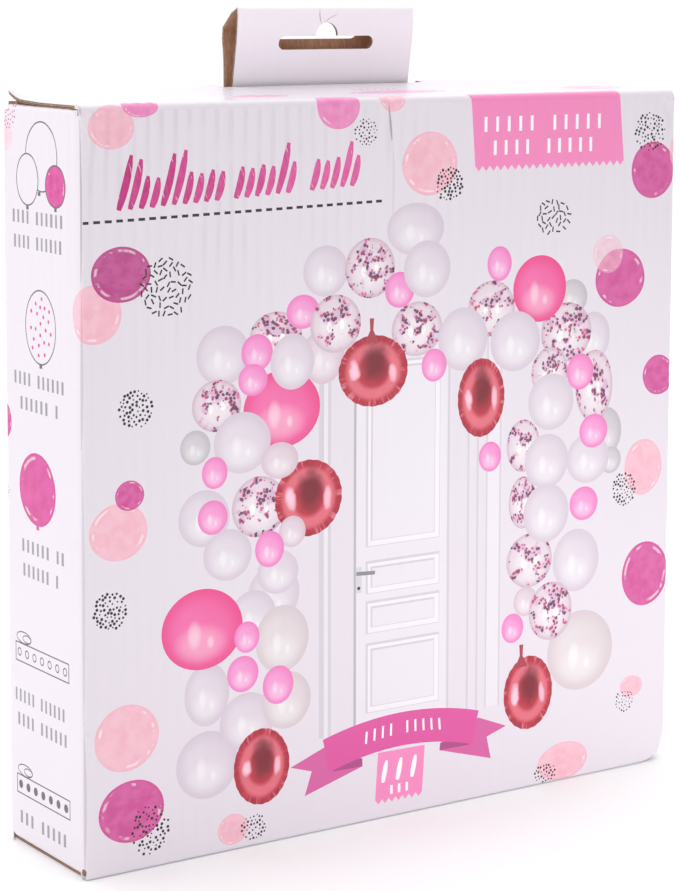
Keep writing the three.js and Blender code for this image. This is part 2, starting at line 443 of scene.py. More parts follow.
for place in range(10):
    share = place / 9
    if place != 4:
        rise = 34.2 + 4.6 * 4 * (0.2 + 0.6 * share) * (0.8 - 0.6 * share)
        ink(bar(-16 + 38 * share, rise - 0.6, 1.0, 5.2, lean=5 - 10 * share), INK_WHITE)
ink([(14.3, 28.6), (-10, 29)] + zigzag((-11.4, 8.6), (13, 8.6), 7, 2.0), BANNER)
for u in (-6.5, 1, 8.5):
    ink(brush_stroke(u, 20.4, 9.6, 2.4, 12, taper=0.25), INK_WHITE)
for u in (-3, 1, 5):
    ink(bar(u, 12, 1.3, 3.8), INK_WHITE)
print("ribbon and tag:", len(blank_inks), "inks")

# %% [markdown]
# ## The left side's list of contents
#
# The left side lists what comes in the carton, each with a small line drawing and two rows of
# grey wording. The drawings are plain balloons and strips; the wording is bars again. On the
# blank this side lies left of the front, so its middle is a negative place across.

# %% Small drawings and rows of bars on the left side
SIDE_INK = colour(150, 146, 153)
SIDE_LINE = colour(96, 86, 98)


def outline_ball(u, v, width, height, line=0.6):
    """A balloon drawn as a thin ring."""
    ink(rounded(u, v, width, height), SIDE_LINE)
    ink(rounded(u, v, width - 2 * line, height - 2 * line), BOARD_WHITE)


def bars(u, v, width, count, tall=5.2):
    """One row of grey bars."""
    for place in range(count):
        if (place * 5 + count) % 7 != 3:
            a = u - width / 2 + width * (place + 0.5) / count
            ink(bar(a, v, 0.42 * width / count, tall), SIDE_INK)


LEFT = -SIDE_MIDDLE
outline_ball(LEFT + 1, 283.5, 27, 28)
outline_ball(LEFT - 11, 274, 19, 21)
ink(rounded(LEFT + 12.5, 272.5, 17, 17), SIDE_LINE)
ink(rounded(LEFT + 12.5, 272.5, 15.8, 15.8), MAGENTA, BRUSH)
for u, foot in [(-1, 268.8), (-11, 262.8), (12.5, 263.4)]:
    ink(bar(LEFT + u, foot, 2.2, 1.5), SIDE_LINE)
outline_ball(LEFT - 1, 216, 26, 30)
for a, b in scattered(LEFT - 1, 216, 20, 24, 3.6, 26):
    ink(rounded(a, b, 1.7, 1.7, steps=8), MAGENTA)
ink(bar(LEFT - 1, 200.4, 2.2, 1.5), SIDE_LINE)
ink(rounded(LEFT - 5, 150.4, 31, 29.5), MAGENTA, BRUSH)
ink(bar(LEFT - 5, 135.2, 2.6, 2.2), MAGENTA)
for v, dark in [(81, False), (25.6, True)]:
    outline_ball(LEFT - 18, v + 6.4, 13, 5.2, line=0.5)
    outline_ball(LEFT - 15.5, v + 6.2, 7.4, 3.4, line=0.47)
    ink(bar(LEFT - 2.5, v, 46, 8.2), SIDE_LINE)
    ink(bar(LEFT - 2.5, v, 44.8, 7.1), BOARD_WHITE)
    for hole in range(7):
        u = LEFT - 22 + 6.5 * hole
        ink(rounded(u, v, 3.4, 3.6, steps=16), SIDE_LINE)
        if not dark:
            ink(rounded(u, v, 2.3, 2.5, steps=12), BOARD_WHITE)
for v, width, count in [(259, 44, 11), (249, 42, 11), (194, 44, 11), (184, 34, 8), (126, 42, 10),
                        (116, 32, 8), (63, 48, 13), (53, 44, 11), (12, 42, 9)]:
    bars(LEFT - 3, v, width, count)
print("left side drawn,", len(blank_inks), "inks")

# %% [markdown]
# ## Dots on the plainer sides
#
# The right side and the back carry the same scatter of dots and nothing else. Seeded chance lays
# them out, with a gap between dots, so the back never copies the front. The top flap has three
# pink dots and one short row of bars.

# %% Scatter dots over the right side, the back and the top flap
DOT_GAP = 36
for low, high, count in [(160, 204, 9), (-506, -222, 26)]:
    places = []
    for _ in range(count * 40):
        here = (dice.uniform(low, high), dice.uniform(14, 296))
        if len(places) < count and all(math.dist(here, other) > DOT_GAP for other in places):
            places.append(here)
    for number, (u, v) in enumerate(places):
        size = dice.uniform(14, 29)
        tint, cover = (PALE_PINK, 0.72) if number % 2 else (MAGENTA, 1)
        painted_dots(tint, cover, [(u, v, size, size * 0.94)])
        if number % 3 == 1:
            speck_circle(u + size * 0.5, v - size * 0.35, 13, 13)
painted_dots(MAGENTA, 1, [(LEFT - 33, 175, 12, 15)])
painted_dots(WARM_PINK, 0.35, [(120, 326, 30, 18)])
painted_dots(WARM_PINK, 0.5, [(18, 330, 50, 14), (-53, 327, 26, 12)])
for place in range(7):
    ink(bar(3 + 3.4 * place, 341, 0.8, 3.2), SIDE_INK)
print("whole picture:", len(blank_inks), "inks")

# %% [markdown]
# ## Worn ink and painted shade along creases
#
# Down the front's left crease a broken grey line is partly ink worn where the board was bent
# and rubbed, and partly painted shade of the fold. Under the top flap's crease, grey strokes
# follow the pressed-in dents: painted shade in the dents. Such marks lie over everything else,
# so they are printed last, as thin grey strokes that cover little.

# %% Worn ink, and painted shade along the left crease and in the dents
WEAR_AND_SHADE = colour(128, 116, 130)
# Grey strokes down the front's left crease: partly worn ink, partly painted shade of the fold.
for v, length, cover in [(268, 62, 0.5), (205, 66, 0.3), (118, 110, 0.22), (34, 60, 0.3)]:
    ink(brush_stroke(-149.9, v, length, 1.3, 0.1, bow=0.3), WEAR_AND_SHADE, cover=cover)
# Grey strokes along the dents under the top flap's crease: painted shade in the dents.
ink(brush_stroke(-5, 295.5, 17, 1.1, -7, bow=0.3), WEAR_AND_SHADE, cover=0.6)
ink(brush_stroke(-3.6, 272, 34, 1.2, 0, bow=0.3), colour(150, 138, 150), cover=0.16)
ink(rounded(-150.5, 3.2, 2.6, 3.0, 0.1), colour(128, 98, 78))
print("whole blank:", len(blank_inks), "inks")

# %% [markdown]
# ## Cutting a panel from the blank
#
# A panel is the part of the blank inside its outline. One planar triangulation takes the outline,
# the inks' outlines and an even lattice of points, which is close across the flutes, where the
# board ripples, and wide along them, where it is straight. Each triangle then lies wholly inside
# or outside every ink, so it takes the topmost one and the print's edges are crisp. Cutting a
# grid with a knife for each of a thousand inks gives the same sheet, but far more slowly.

# %% Cut a flat sheet with its print
ACROSS_STEP = 1.05
ALONG_STEP = 5.0


def edges_of(outline):
    """Each corner of a closed outline with the next one."""
    return list(zip(outline, outline[1:] + outline[:1]))


def close_ring(outline):
    """The outline, anticlockwise, with points added so that no edge spans more than one step."""
    if sum(u0 * v1 - u1 * v0 for (u0, v0), (u1, v1) in edges_of(outline)) < 0:
        outline = outline[::-1]
    ring = []
    for (u0, v0), (u1, v1) in edges_of(outline):
        parts = max(1, math.ceil(abs(u1 - u0) / ACROSS_STEP), math.ceil(abs(v1 - v0) / ALONG_STEP))
        for part in range(parts):
            share = part / parts
            ring.append((u0 + (u1 - u0) * share, v0 + (v1 - v0) * share))
    return ring


def layer_of(marks):
    """The colour of one triangle and its topmost ink, from the inks over it, lowest first."""
    tint = list(BOARD_WHITE)
    for mark in marks:
        tint = [old + (new - old) * mark["cover"] for old, new in zip(tint, mark["tint"])]
    return tint, marks[-1] if marks else None


def touches(mark, lows, highs):
    """Whether an ink comes near the box from lows to highs."""
    return all(abs(mark["middle"][axis] - (lows[axis] + highs[axis]) / 2)
               < mark["half"][axis] + (highs[axis] - lows[axis]) / 2 for axis in (0, 1))


def cut_sheet(outline, inks, holes=(), close_columns=(), close_rows=()):
    """Points of the sheet inside outline and outside holes, and its triangles with their inks."""
    lows = [min(values) for values in zip(*outline)]
    highs = [max(values) for values in zip(*outline)]
    near = [mark for mark in inks if touches(mark, lows, highs)]
    points = []
    faces = []
    for ring in map(close_ring, [outline, *holes, *(mark["outline"] for mark in near)]):
        faces.append(list(range(len(points), len(points) + len(ring))))
        points.extend(ring)
    columns = list(np.arange(lows[0] + 0.3, highs[0], ACROSS_STEP)) + list(close_columns)
    rows = list(np.arange(lows[1] + 0.3, highs[1], ALONG_STEP)) + list(close_rows)
    points.extend((u, v) for u in columns for v in rows)
    flat, _, triangles, _, _, origins = delaunay_2d_cdt(
        [Vector(p) for p in points], [], faces, 1, 1e-4, True)
    first_ink = 1 + len(holes)
    kept = []
    for triangle, origin in zip(triangles, origins):
        inside = sorted(set(origin))
        if 0 in inside and not any(1 <= number < first_ink for number in inside):
            marks = [near[number - first_ink] for number in inside if number >= first_ink]
            kept.append((triangle, *layer_of(marks)))
    return np.array([tuple(p) for p in flat]), kept


print("a sheet is cut by one triangulation")

# %% [markdown]
# ## Folding and giving the board its thickness
#
# Folding is a function: it takes places on the blank and gives places in space. The sheet's
# normals are worked out from the same function, so the panel shades smoothly whatever its
# triangles look like. The board is then thickened inwards along those normals: the print is
# outside, bare brown board inside, and the cut edge joins the two.

# %% Fold a sheet into a panel of board
def surface(fold, u, v):
    """Places and unit normals of the folded sheet at blank places u, v."""
    small = 0.03
    across = fold(u + small, v) - fold(u - small, v)
    along = fold(u, v + small) - fold(u, v - small)
    normal = np.cross(across, along)
    return fold(u, v), normal / np.linalg.norm(normal, axis=1)[:, None]


def add_cut_edge(board, flat, in_verts, place_layer):
    """Closes the board's border with faces that know how they run, and returns their normals."""
    board.verts.index_update()
    ways = []
    border = [edge for edge in board.edges if edge.is_boundary]
    for edge in [edge for edge in border if edge.link_faces[0].material_index == 0]:
        loop = edge.link_loops[0]
        first, second = loop.vert, loop.link_loop_next.vert
        a, b = first.index, second.index
        rim = board.faces.new([second, first, in_verts[a], in_verts[b]])
        rim.material_index = 2
        crossing = abs(flat[b][0] - flat[a][0]) / max(1e-6, math.dist(flat[a], flat[b]))
        runs = [flat[b][0], flat[a][0]]
        if crossing < 0.5:
            runs = [flat[b] @ (0.6, 0.8), flat[a] @ (0.6, 0.8)]
        for corner, run, depth in zip(rim.loops, (*runs, *runs[::-1]), (0, 0, 1, 1)):
            corner[place_layer] = (run, depth, crossing)
        rim.normal_update()
        ways.extend([np.array(rim.normal)] * 4)
    return ways


def add_print(face, corners, flat, tint, top, layers):
    """Writes the colour, kind and place of the topmost ink on a printed face."""
    tint_layer, kind_layer, place_layer = layers
    for loop, corner in zip(face.loops, corners):
        loop[tint_layer] = (*tint, 1)
        loop[kind_layer] = top["kind"] if top else PLAIN
        if top:
            s = (flat[corner][0] - top["middle"][0]) / top["half"][0]
            t = (flat[corner][1] - top["middle"][1]) / top["half"][1]
            loop[place_layer] = (s, t, top["seed"])


def new_panel(name, sheet, fold):
    """Makes the board: print outside, bare board inside, a cut edge round it."""
    flat, kept = sheet
    used = sorted({corner for triangle, _, _ in kept for corner in triangle})
    flat = flat[used]
    renumber = {old: new for new, old in enumerate(used)}
    outside, normals = surface(fold, flat[:, 0], flat[:, 1])
    inside = outside - BOARD * normals
    board = bmesh.new()
    out_verts = [board.verts.new(place * TO_METRES) for place in outside]
    in_verts = [board.verts.new(place * TO_METRES) for place in inside]
    of_corners = board.loops.layers
    layers = (of_corners.float_color.new("ink_tint"), of_corners.float_color.new("ink_kind"),
              of_corners.float_vector.new("ink_place"))
    ways = []
    for triangle, tint, top in kept:
        corners = [renumber[corner] for corner in triangle]
        face = board.faces.new([out_verts[corner] for corner in corners])
        add_print(face, corners, flat, tint, top, layers)
        ways.extend(normals[corner] for corner in corners)
        bare = board.faces.new([in_verts[corner] for corner in reversed(corners)])
        bare.material_index = 1
        ways.extend(-normals[corner] for corner in reversed(corners))
    ways.extend(add_cut_edge(board, flat, in_verts, layers[2]))
    mesh = bpy.data.meshes.new(name)
    board.to_mesh(mesh)
    board.free()
    for polygon in mesh.polygons:
        polygon.use_smooth = True
    mesh.normals_split_custom_set([tuple(way) for way in ways])
    for finish in FINISHES:
        mesh.materials.append(finish)
    panel = bpy.data.objects.new(name, mesh)
    bpy.context.scene.collection.objects.link(panel)
    print(name, "has", sum(len(p.vertices) - 2 for p in mesh.polygons), "triangles")
    return panel


print("folding turns a flat sheet into board", BOARD, "mm thick")

# %% [markdown]
# ## Shader helpers
#
# The finishes share a few small effects. Each one is a node group with named sockets, built once.
# Short helpers below place a node, set its inputs and hand back its output, so that an effect
# reads like a sum.

# %% Helpers that place and join nodes
COLOUR, VALUE, VECTOR = "NodeSocketColor", "NodeSocketFloat", "NodeSocketVector"
WHITE = (1, 1, 1, 1)


def opaque(*screen_colour):
    """A screen colour as a node wants it, with full cover."""
    return (*colour(*screen_colour), 1)


def put(tree, kind, inputs=(), output=0, **settings):
    """Adds a node, sets or links its inputs by number or name, and returns one output."""
    node = tree.nodes.new("ShaderNode" + kind)
    for key, value in settings.items():
        setattr(node, key, value)
    for key, value in dict(inputs).items():
        if isinstance(value, bpy.types.NodeSocket):
            tree.links.new(value, node.inputs[key])
        else:
            node.inputs[key].default_value = value
    return node.outputs[output]


def calc(tree, operation, *values):
    """A Math node."""
    return put(tree, "Math", dict(enumerate(values)), operation=operation)


def times(tree, *values):
    """One value multiplied by another."""
    return calc(tree, "MULTIPLY", *values)


def plus(tree, *values):
    """One value added to another."""
    return calc(tree, "ADD", *values)


def fade(tree, value, start, end, low=0.0, high=1.0):
    """A smooth step from low at start to high at end."""
    return put(tree, "MapRange", {0: value, 1: start, 2: end, 3: low, 4: high},
               interpolation_type="SMOOTHSTEP")


def mix(tree, share, under, over):
    """Mixes two colours by a share."""
    return put(tree, "Mix", {0: share, 6: under, 7: over}, output=2, data_type="RGBA")


def noise(tree, where, scale, detail=2.0):
    """Even noise read at a place."""
    return put(tree, "TexNoise", {"Vector": where, "Scale": scale, "Detail": detail})


def axes(tree, where):
    """The three parts of a place."""
    return put(tree, "SeparateXYZ", {0: where}).node.outputs


def spot(tree, s, t, across, up, half_width, half_height, softness=1.0):
    """A soft oval mark at a place on a ball: 1 in its middle, 0 outside."""
    a = calc(tree, "DIVIDE", calc(tree, "SUBTRACT", s, across), half_width)
    b = calc(tree, "DIVIDE", calc(tree, "SUBTRACT", t, up), half_height)
    return fade(tree, plus(tree, times(tree, a, a), times(tree, b, b)), 1.0, 1.0 - softness)


print("node helpers ready")

# %% Node groups, and how the shading of one kind of mark begins
def new_group(name, inputs, outputs):
    """An empty node group with named sockets, and its input and output nodes."""
    group = bpy.data.node_groups.new(name, "ShaderNodeTree")
    for way, sockets in (("INPUT", inputs), ("OUTPUT", outputs)):
        for label, kind in sockets:
            group.interface.new_socket(name=label, in_out=way, socket_type=kind)
    return group, group.nodes.new("NodeGroupInput"), group.nodes.new("NodeGroupOutput")


def start_shading(name):
    """A group that shades one kind of mark: its tree, tint and end, and the mark's own place."""
    tree, group_in, group_out = new_group(name, [("Tint", COLOUR), ("Place", VECTOR)], [("Tint", COLOUR)])
    place = group_in.outputs["Place"]
    s, t, seed = axes(tree, place)
    squared = plus(tree, times(tree, s, s), times(tree, t, t))
    return tree, group_in.outputs["Tint"], group_out.inputs["Tint"], place, s, t, seed, squared


print("each kind of mark gets a group of its own")

# %% [markdown]
# ## How a printed balloon is shaded
#
# A latex balloon glows: it is paler where it is full and deeper in colour at its rim and towards
# its upper right, with a soft sheen low in its middle. It also shows two window lights, a tall one
# left of the middle and a small one low on the right. The group works only from the ink's own
# place, s across and t up, so one group shades every balloon, large or small.

# %% The latex balloon group
tree, tint, result, _, s, t, _, squared = start_shading("latex_shading")
deep = put(tree, "Gamma", {0: tint, 1: 1.6})
shaded = mix(tree, fade(tree, squared, 0.25, 1.0, 0.0, 0.75), tint, deep)
shaded = mix(tree, fade(tree, plus(tree, t, s), -0.2, 1.3, 0.0, 0.42), shaded, deep)
glow = times(tree, spot(tree, s, t, -0.05, -0.35, 0.75, 0.55), 0.22)
shaded = mix(tree, glow, shaded, WHITE)
tall_light = spot(tree, s, t, -0.2, -0.12, 0.2, 0.42)
lights = calc(tree, "MAXIMUM", tall_light, spot(tree, s, t, 0.2, -0.34, 0.1, 0.18))
shaded = mix(tree, times(tree, lights, 0.32), shaded, WHITE)
tree.links.new(shaded, result)
ball_group = tree
print("latex shading:", len(tree.nodes), "nodes")

# %% [markdown]
# ## Foil balloons
#
# A foil balloon is a mirror bag with a crinkled seam. It reflects a dark room in its middle and
# windows as bright upright streaks at its sides, and near the seam it breaks into small folds
# that run outwards, some dark and some light. Noise read by angle gives those folds.

# %% The foil balloon group
tree, tint, result, place, s, t, seed, squared = start_shading("foil_shading")
reach = calc(tree, "SQRT", squared)
angle = calc(tree, "ARCTAN2", t, s)
folds_at = put(tree, "CombineXYZ", {0: times(tree, angle, 7.0), 1: reach, 2: seed})
folds = noise(tree, folds_at, 1.6, 3.0)
room = noise(tree, place, 2.2)
bent = plus(tree, t, fade(tree, room, 0.3, 0.7, -0.1, 0.1))
shaded = mix(tree, fade(tree, room, 0.45, 0.75, 0.0, 0.5), tint, opaque(216, 76, 94))
ring = times(tree, fade(tree, reach, 0.4, 0.58), fade(tree, reach, 0.88, 0.7))
shaded = mix(tree, times(tree, ring, 0.6), shaded, opaque(242, 132, 148))
dark = times(tree, spot(tree, s, bent, 0.06, 0.2, 0.5, 0.72), 0.85)
shaded = mix(tree, dark, shaded, opaque(104, 26, 38))
fold_dark = times(tree, fade(tree, reach, 0.74, 0.96), fade(tree, folds, 0.46, 0.58, 0.1, 0.55))
shaded = mix(tree, fold_dark, shaded, opaque(146, 30, 52))
fold_light = times(tree, fade(tree, reach, 0.74, 0.92), fade(tree, folds, 0.42, 0.35))
shaded = mix(tree, times(tree, fold_light, 0.38), shaded, opaque(246, 168, 184))
right_streak = times(tree, spot(tree, s, bent, 0.56, -0.04, 0.15, 0.34), 0.8)
streak = calc(tree, "MAXIMUM", spot(tree, s, bent, -0.54, 0.0, 0.2, 0.34), right_streak)
shaded = mix(tree, times(tree, streak, 0.95), shaded, opaque(252, 206, 224))
tree.links.new(shaded, result)
foil_group = tree
print("foil shading:", len(tree.nodes), "nodes")

# %% [markdown]
# ## Clear balloons with confetti
#
# A clear balloon shows little of itself: a faint pink skin, a slightly darker rim and window
# lights. What shows is the paper confetti that clings inside it in clumps. Voronoi cells make
# the flakes, one random colour each, and noise gathers them into clumps.

# %% The confetti balloon group
tree, tint, result, place, s, t, _, squared = start_shading("confetti_shading")
skin = mix(tree, fade(tree, squared, 0.6, 1.0, 0.0, 0.55), tint, opaque(190, 158, 176))
skin = mix(tree, times(tree, spot(tree, s, t, 0.0, -0.1, 0.8, 0.8), 0.4), skin, WHITE)
flakes = put(tree, "TexVoronoi", {"Vector": place, "Scale": 7.6, "Randomness": 1.0})
clumps = noise(tree, place, 2.6, 1.0)
chance = put(tree, "SeparateColor", {0: flakes.node.outputs["Color"]})
flake_tint = put(tree, "ValToRGB", {0: chance})
ramp = flake_tint.node.color_ramp
ramp.interpolation = "CONSTANT"
ramp.elements[0].color = opaque(64, 40, 62)
ramp.elements[1].position = 0.2
ramp.elements[1].color = opaque(128, 66, 128)
for position, paper in [(0.38, (190, 56, 118)), (0.6, (226, 110, 168)), (0.84, (214, 70, 92))]:
    ramp.elements.new(position).color = opaque(*paper)
heart = spot(tree, s, t, 0.05, 0.3, 0.62, 0.42)
gathered = plus(tree, clumps, times(tree, heart, 0.17))
clumped = fade(tree, gathered, 0.44, 0.6, 0.08, 0.52)
flake_mask = fade(tree, calc(tree, "SUBTRACT", clumped, flakes), -0.03, 0.04, 0.0, 0.92)
haze = times(tree, fade(tree, gathered, 0.46, 0.68), 0.5)
skin = mix(tree, haze, skin, opaque(204, 128, 184))
darkened = times(tree, fade(tree, gathered, 0.56, 0.7), 0.85)
flake_tint = mix(tree, darkened, flake_tint, opaque(70, 34, 64))
shaded = mix(tree, flake_mask, skin, flake_tint)
left_light = spot(tree, s, t, -0.25, -0.1, 0.12, 0.22, 0.6)
lights = calc(tree, "MAXIMUM", left_light, spot(tree, s, t, 0.25, -0.05, 0.1, 0.2, 0.6))
shaded = mix(tree, times(tree, lights, 0.7), shaded, WHITE)
tree.links.new(shaded, result)
confetti_group = tree
print("confetti shading:", len(tree.nodes), "nodes")

# %% [markdown]
# ## Brushed paint
#
# The dots look painted by hand: the paint is a little uneven, slightly darker where the brush
# stopped at the rim, and in places the bristles left a pale arc just inside it.

# %% The brushed paint group
tree, tint, result, place, _, _, _, squared = start_shading("brushed_paint")
reach = calc(tree, "SQRT", squared)
mottle = noise(tree, place, 2.4, 4.0)
deep = put(tree, "Gamma", {0: tint, 1: 1.22})
shaded = mix(tree, fade(tree, mottle, 0.35, 0.65), tint, deep)
rim = times(tree, fade(tree, reach, 0.9, 0.98), 0.5)
shaded = mix(tree, rim, shaded, deep)
arc = times(tree, fade(tree, reach, 0.78, 0.86), fade(tree, reach, 0.93, 0.87))
arc = times(tree, arc, fade(tree, mottle, 0.52, 0.6, 0.0, 0.5))
shaded = mix(tree, arc, shaded, WHITE)
tree.links.new(shaded, result)
brush_group = tree
print("brushed paint:", len(tree.nodes), "nodes")

# %% [markdown]
# ## Printed board
#
# The outside is white-lined board, printed and varnished. The varnish is smooth but not flat: it
# follows the paper, and the paper follows the flutes. So the finish is the print's colour, a
# glossy coat over a duller base, a roughness that drifts a little, and a fine bump for the paper.
# High on the front and most at its left, where the board ripples most over its flutes, faint
# darker upright lines at the ripples' pitch are painted shade of those ripples.

# %% Paper grain, and how a material begins
paper_grain, _, group_out = new_group("paper_grain", [], [("Grain", VALUE), ("Drift", VALUE)])
where = put(paper_grain, "TexCoord", output="Object")
for label, scale, detail in (("Grain", 900.0, 3.0), ("Drift", 14.0, 2.0)):
    paper_grain.links.new(noise(paper_grain, where, scale, detail), group_out.inputs[label])


def join(tree, node, sockets):
    """Links sockets to a node's inputs by name."""
    for label, socket in sockets.items():
        tree.links.new(socket, node.inputs[label])


def place_group(tree, group, sockets=None):
    """Places a node group, links its inputs and returns its outputs."""
    node = tree.nodes.new("ShaderNodeGroup")
    node.node_tree = group
    join(tree, node, sockets or {})
    return node.outputs


def new_material(name, roughness, coat=0.0, coat_roughness=0.1):
    """A material with its tree and its Principled shader."""
    material = bpy.data.materials.new(name)
    material.use_nodes = True
    shader = material.node_tree.nodes["Principled BSDF"]
    shader.inputs["Roughness"].default_value = roughness
    shader.inputs["Coat Weight"].default_value = coat
    shader.inputs["Coat Roughness"].default_value = coat_roughness
    return material, material.node_tree, shader


print("paper grain:", len(paper_grain.nodes), "nodes")

# %% The printed and varnished outside
printed, tree, shader = new_material("printed_varnish", 0.42, coat=0.3, coat_roughness=0.16)
shader.inputs["Specular IOR Level"].default_value = 0.35
tint = put(tree, "Attribute", attribute_name="ink_tint")
kinds = put(tree, "Attribute", attribute_name="ink_kind")
place = put(tree, "Attribute", attribute_name="ink_place", output="Vector")
split = put(tree, "SeparateColor", {0: kinds}).node.outputs
shares = [split[0], split[1], split[2], kinds.node.outputs["Alpha"]]
print_tint = tint
for share, group in zip(shares, [ball_group, foil_group, confetti_group, brush_group]):
    shaded = place_group(tree, group, {"Tint": tint, "Place": place})["Tint"]
    print_tint = mix(tree, share, print_tint, shaded)
grain = place_group(tree, paper_grain)
drift = fade(tree, grain["Drift"], 0.3, 0.7, 0.34, 0.5)
bump = put(tree, "Bump", {"Height": grain["Grain"], "Strength": 0.06, "Distance": 0.0002})
print("printed board:", len(tree.nodes), "nodes")

# %% Painted shade of the flute ripples, high on the front
where = put(tree, "TexCoord", output="Object")
across, back, height = axes(tree, where)
swayed = plus(tree, across, fade(tree, grain["Drift"], 0.3, 0.7, 0.0, 0.002))
lines = calc(tree, "SINE", times(tree, swayed, math.tau / (RIPPLE_PITCH * TO_METRES)))
painted_ripple_shade = fade(tree, lines, 0.0, 0.95, 0.0, 0.12)
towards_top = fade(tree, height, 0.18, 0.3, 0.12, 1.0)
towards_left = fade(tree, across, 0.06, -0.13, 0.25, 1.0)
on_the_front = fade(tree, back, -0.0305, -0.0315)
below_crease = fade(tree, height, 0.3028, 0.302)
uneven = fade(tree, noise(tree, where, 45.0), 0.35, 0.65, 0.15, 1.0)
for limit in (towards_top, towards_left, on_the_front, below_crease, uneven):
    painted_ripple_shade = times(tree, painted_ripple_shade, limit)
# Darker upright lines at the ripples' pitch: painted shade of the board's ripples.
print_tint = mix(tree, painted_ripple_shade, print_tint, opaque(120, 96, 122))
join(tree, shader, {"Base Color": print_tint, "Roughness": drift, "Normal": bump})
print("printed board with its flutes:", len(tree.nodes), "nodes")

# %% [markdown]
# ## Bare board
#
# Inside, the board is plain brown paper with short fibres. Noise stretched upright gives the
# fibres, and a slow drift stains the paper a little darker in places.

# %% The brown inside
kraft, tree, shader = new_material("bare_kraft_inside", 0.85)
grain = place_group(tree, paper_grain)
where = put(tree, "TexCoord", output="Object")
stretched = put(tree, "Mapping", {"Vector": where, "Scale": (1, 1, 0.15)})
fibres = noise(tree, stretched, 1400.0, 4.0)
kraft_tint = mix(tree, fade(tree, fibres, 0.35, 0.7), opaque(188, 143, 116), opaque(214, 172, 144))
stained = fade(tree, grain["Drift"], 0.35, 0.7, 0.0, 0.3)
kraft_tint = mix(tree, stained, kraft_tint, opaque(160, 116, 90))
bump = put(tree, "Bump", {"Height": fibres, "Strength": 0.25, "Distance": 0.0003})
join(tree, shader, {"Base Color": kraft_tint, "Normal": bump})
print("bare board:", len(tree.nodes), "nodes")

# %% [markdown]
# ## The cut edge
#
# A cut edge shows how board is made: two thin liners with a wave of paper glued between them.
# Where the cut crosses the flutes the wave shows, and where it runs along them only the layers
# do. The open hollows between the wave and the liners are painted dark brown: painted shade.
# A picture of the wave could be wrapped round the edge; a sine read along the cut does the
# same at any size. At the creases above and below the front the sheet isn't cut, so there the
# edge stays white.

# %% The cut edge with its flutes
cut_edge, tree, shader = new_material("cut_board_edge", 0.9)
run, depth, crossing = axes(tree, put(tree, "Attribute", attribute_name="ink_place", output="Vector"))
from_middle = calc(tree, "SUBTRACT", depth, 0.5)
wave = times(tree, calc(tree, "SINE", times(tree, run, math.tau / FLUTE_PITCH)), 0.27)
wave = times(tree, wave, crossing)
from_wave = calc(tree, "ABSOLUTE", calc(tree, "SUBTRACT", from_middle, wave))
liners = calc(tree, "ABSOLUTE", from_middle)
hollow = times(tree, fade(tree, from_wave, 0.1, 0.17), fade(tree, liners, 0.42, 0.34))
grain = place_group(tree, paper_grain)["Grain"]
edge_tint = mix(tree, fade(tree, grain, 0.35, 0.65), opaque(150, 118, 92), opaque(184, 152, 124))
# The open hollows between the wave and the liners are painted dark brown: painted shade in the flutes.
edge_tint = mix(tree, times(tree, hollow, 0.75), edge_tint, opaque(62, 44, 34))
edge_tint = mix(tree, fade(tree, depth, 0.24, 0.16), edge_tint, (*BOARD_WHITE, 1))
_, back, height = axes(tree, put(tree, "TexCoord", output="Object"))
joined = times(tree, fade(tree, back, -0.0265, -0.0285), fade(tree, height, 0.3085, 0.307))
joined = calc(tree, "MAXIMUM", joined, fade(tree, height, 0.0011, 0.0007))
edge_tint = mix(tree, joined, edge_tint, (*BOARD_WHITE, 1))
bump = put(tree, "Bump", {"Height": hollow, "Strength": 0.6, "Distance": 0.0006}, invert=True)
join(tree, shader, {"Base Color": edge_tint, "Normal": bump})
FINISHES = [printed, kraft, cut_edge]
print("cut edge:", len(tree.nodes), "nodes")

# %% [markdown]
# ## Ripples and dents
#
# The flutes show through the liner as fine upright ripples, stronger where the board has been
# damp or pressed. Handling has left a few dents too: each is given by its depth, its middle
# across and half width, and its middle up and half length, and one more runs slanting over the
# upper right corner. One function holds them all. It only ever pushes the board inwards, and it
# is given the blank's places, so a dent runs over a crease without a step.

# %% Wear of the board as one function of the blank
DENTS = [(0.9, -146, 9, 262, 45), (0.95, -4.5, 1.9, 298, 17), (0.3, -3, 5, 265, 34),
         (0.5, -20, 90, 150, 80)]


def bell(distance, width):
    """A soft bump of height one."""
    return np.exp(-(distance / width) ** 2)


def wear(u, v):
    """How far the board is pushed in at blank places u, v, in millimetres."""
    ripple = (1 + np.cos(math.tau * (u + 0.9 * np.sin(u * 0.21)) / RIPPLE_PITCH)) / 2
    strong = bell(u + 112, 62) * bell(v - 300, 95) + 0.35 * bell(u - 40, 60) * bell(v - 300, 40)
    uneven = 0.75 + 0.35 * np.sin(u * 0.37 + 1.0) + 0.2 * np.sin(u * 0.83)
    pushed = (0.035 + 0.24 * strong * uneven) * ripple
    for depth, middle, half_width, height, half_length in DENTS:
        pushed = pushed + depth * bell(u - middle, half_width) * bell(v - height, half_length)
    diagonal = (u - 146) * 0.83 + (v - 295) * 0.55
    return pushed + 0.55 * bell(diagonal, 1.3) * bell(v - 295, 8) * bell(u - 147, 9)


BUMPED_CORNER = np.array([HALF_WIDTH, -HALF_DEPTH, 0.0])
BUMP = np.array([-2.6, 0.9, 2.4])


def crushed(places):
    """Presses in the right front foot of the carton, which has been dropped on."""
    near = np.linalg.norm(places - BUMPED_CORNER, axis=1)
    return places + BUMP * bell(near, 7.5)[:, None]


print("deepest wear:", round(float(wear(np.array([-146.0]), np.array([262.0]))[0]), 2), "mm")

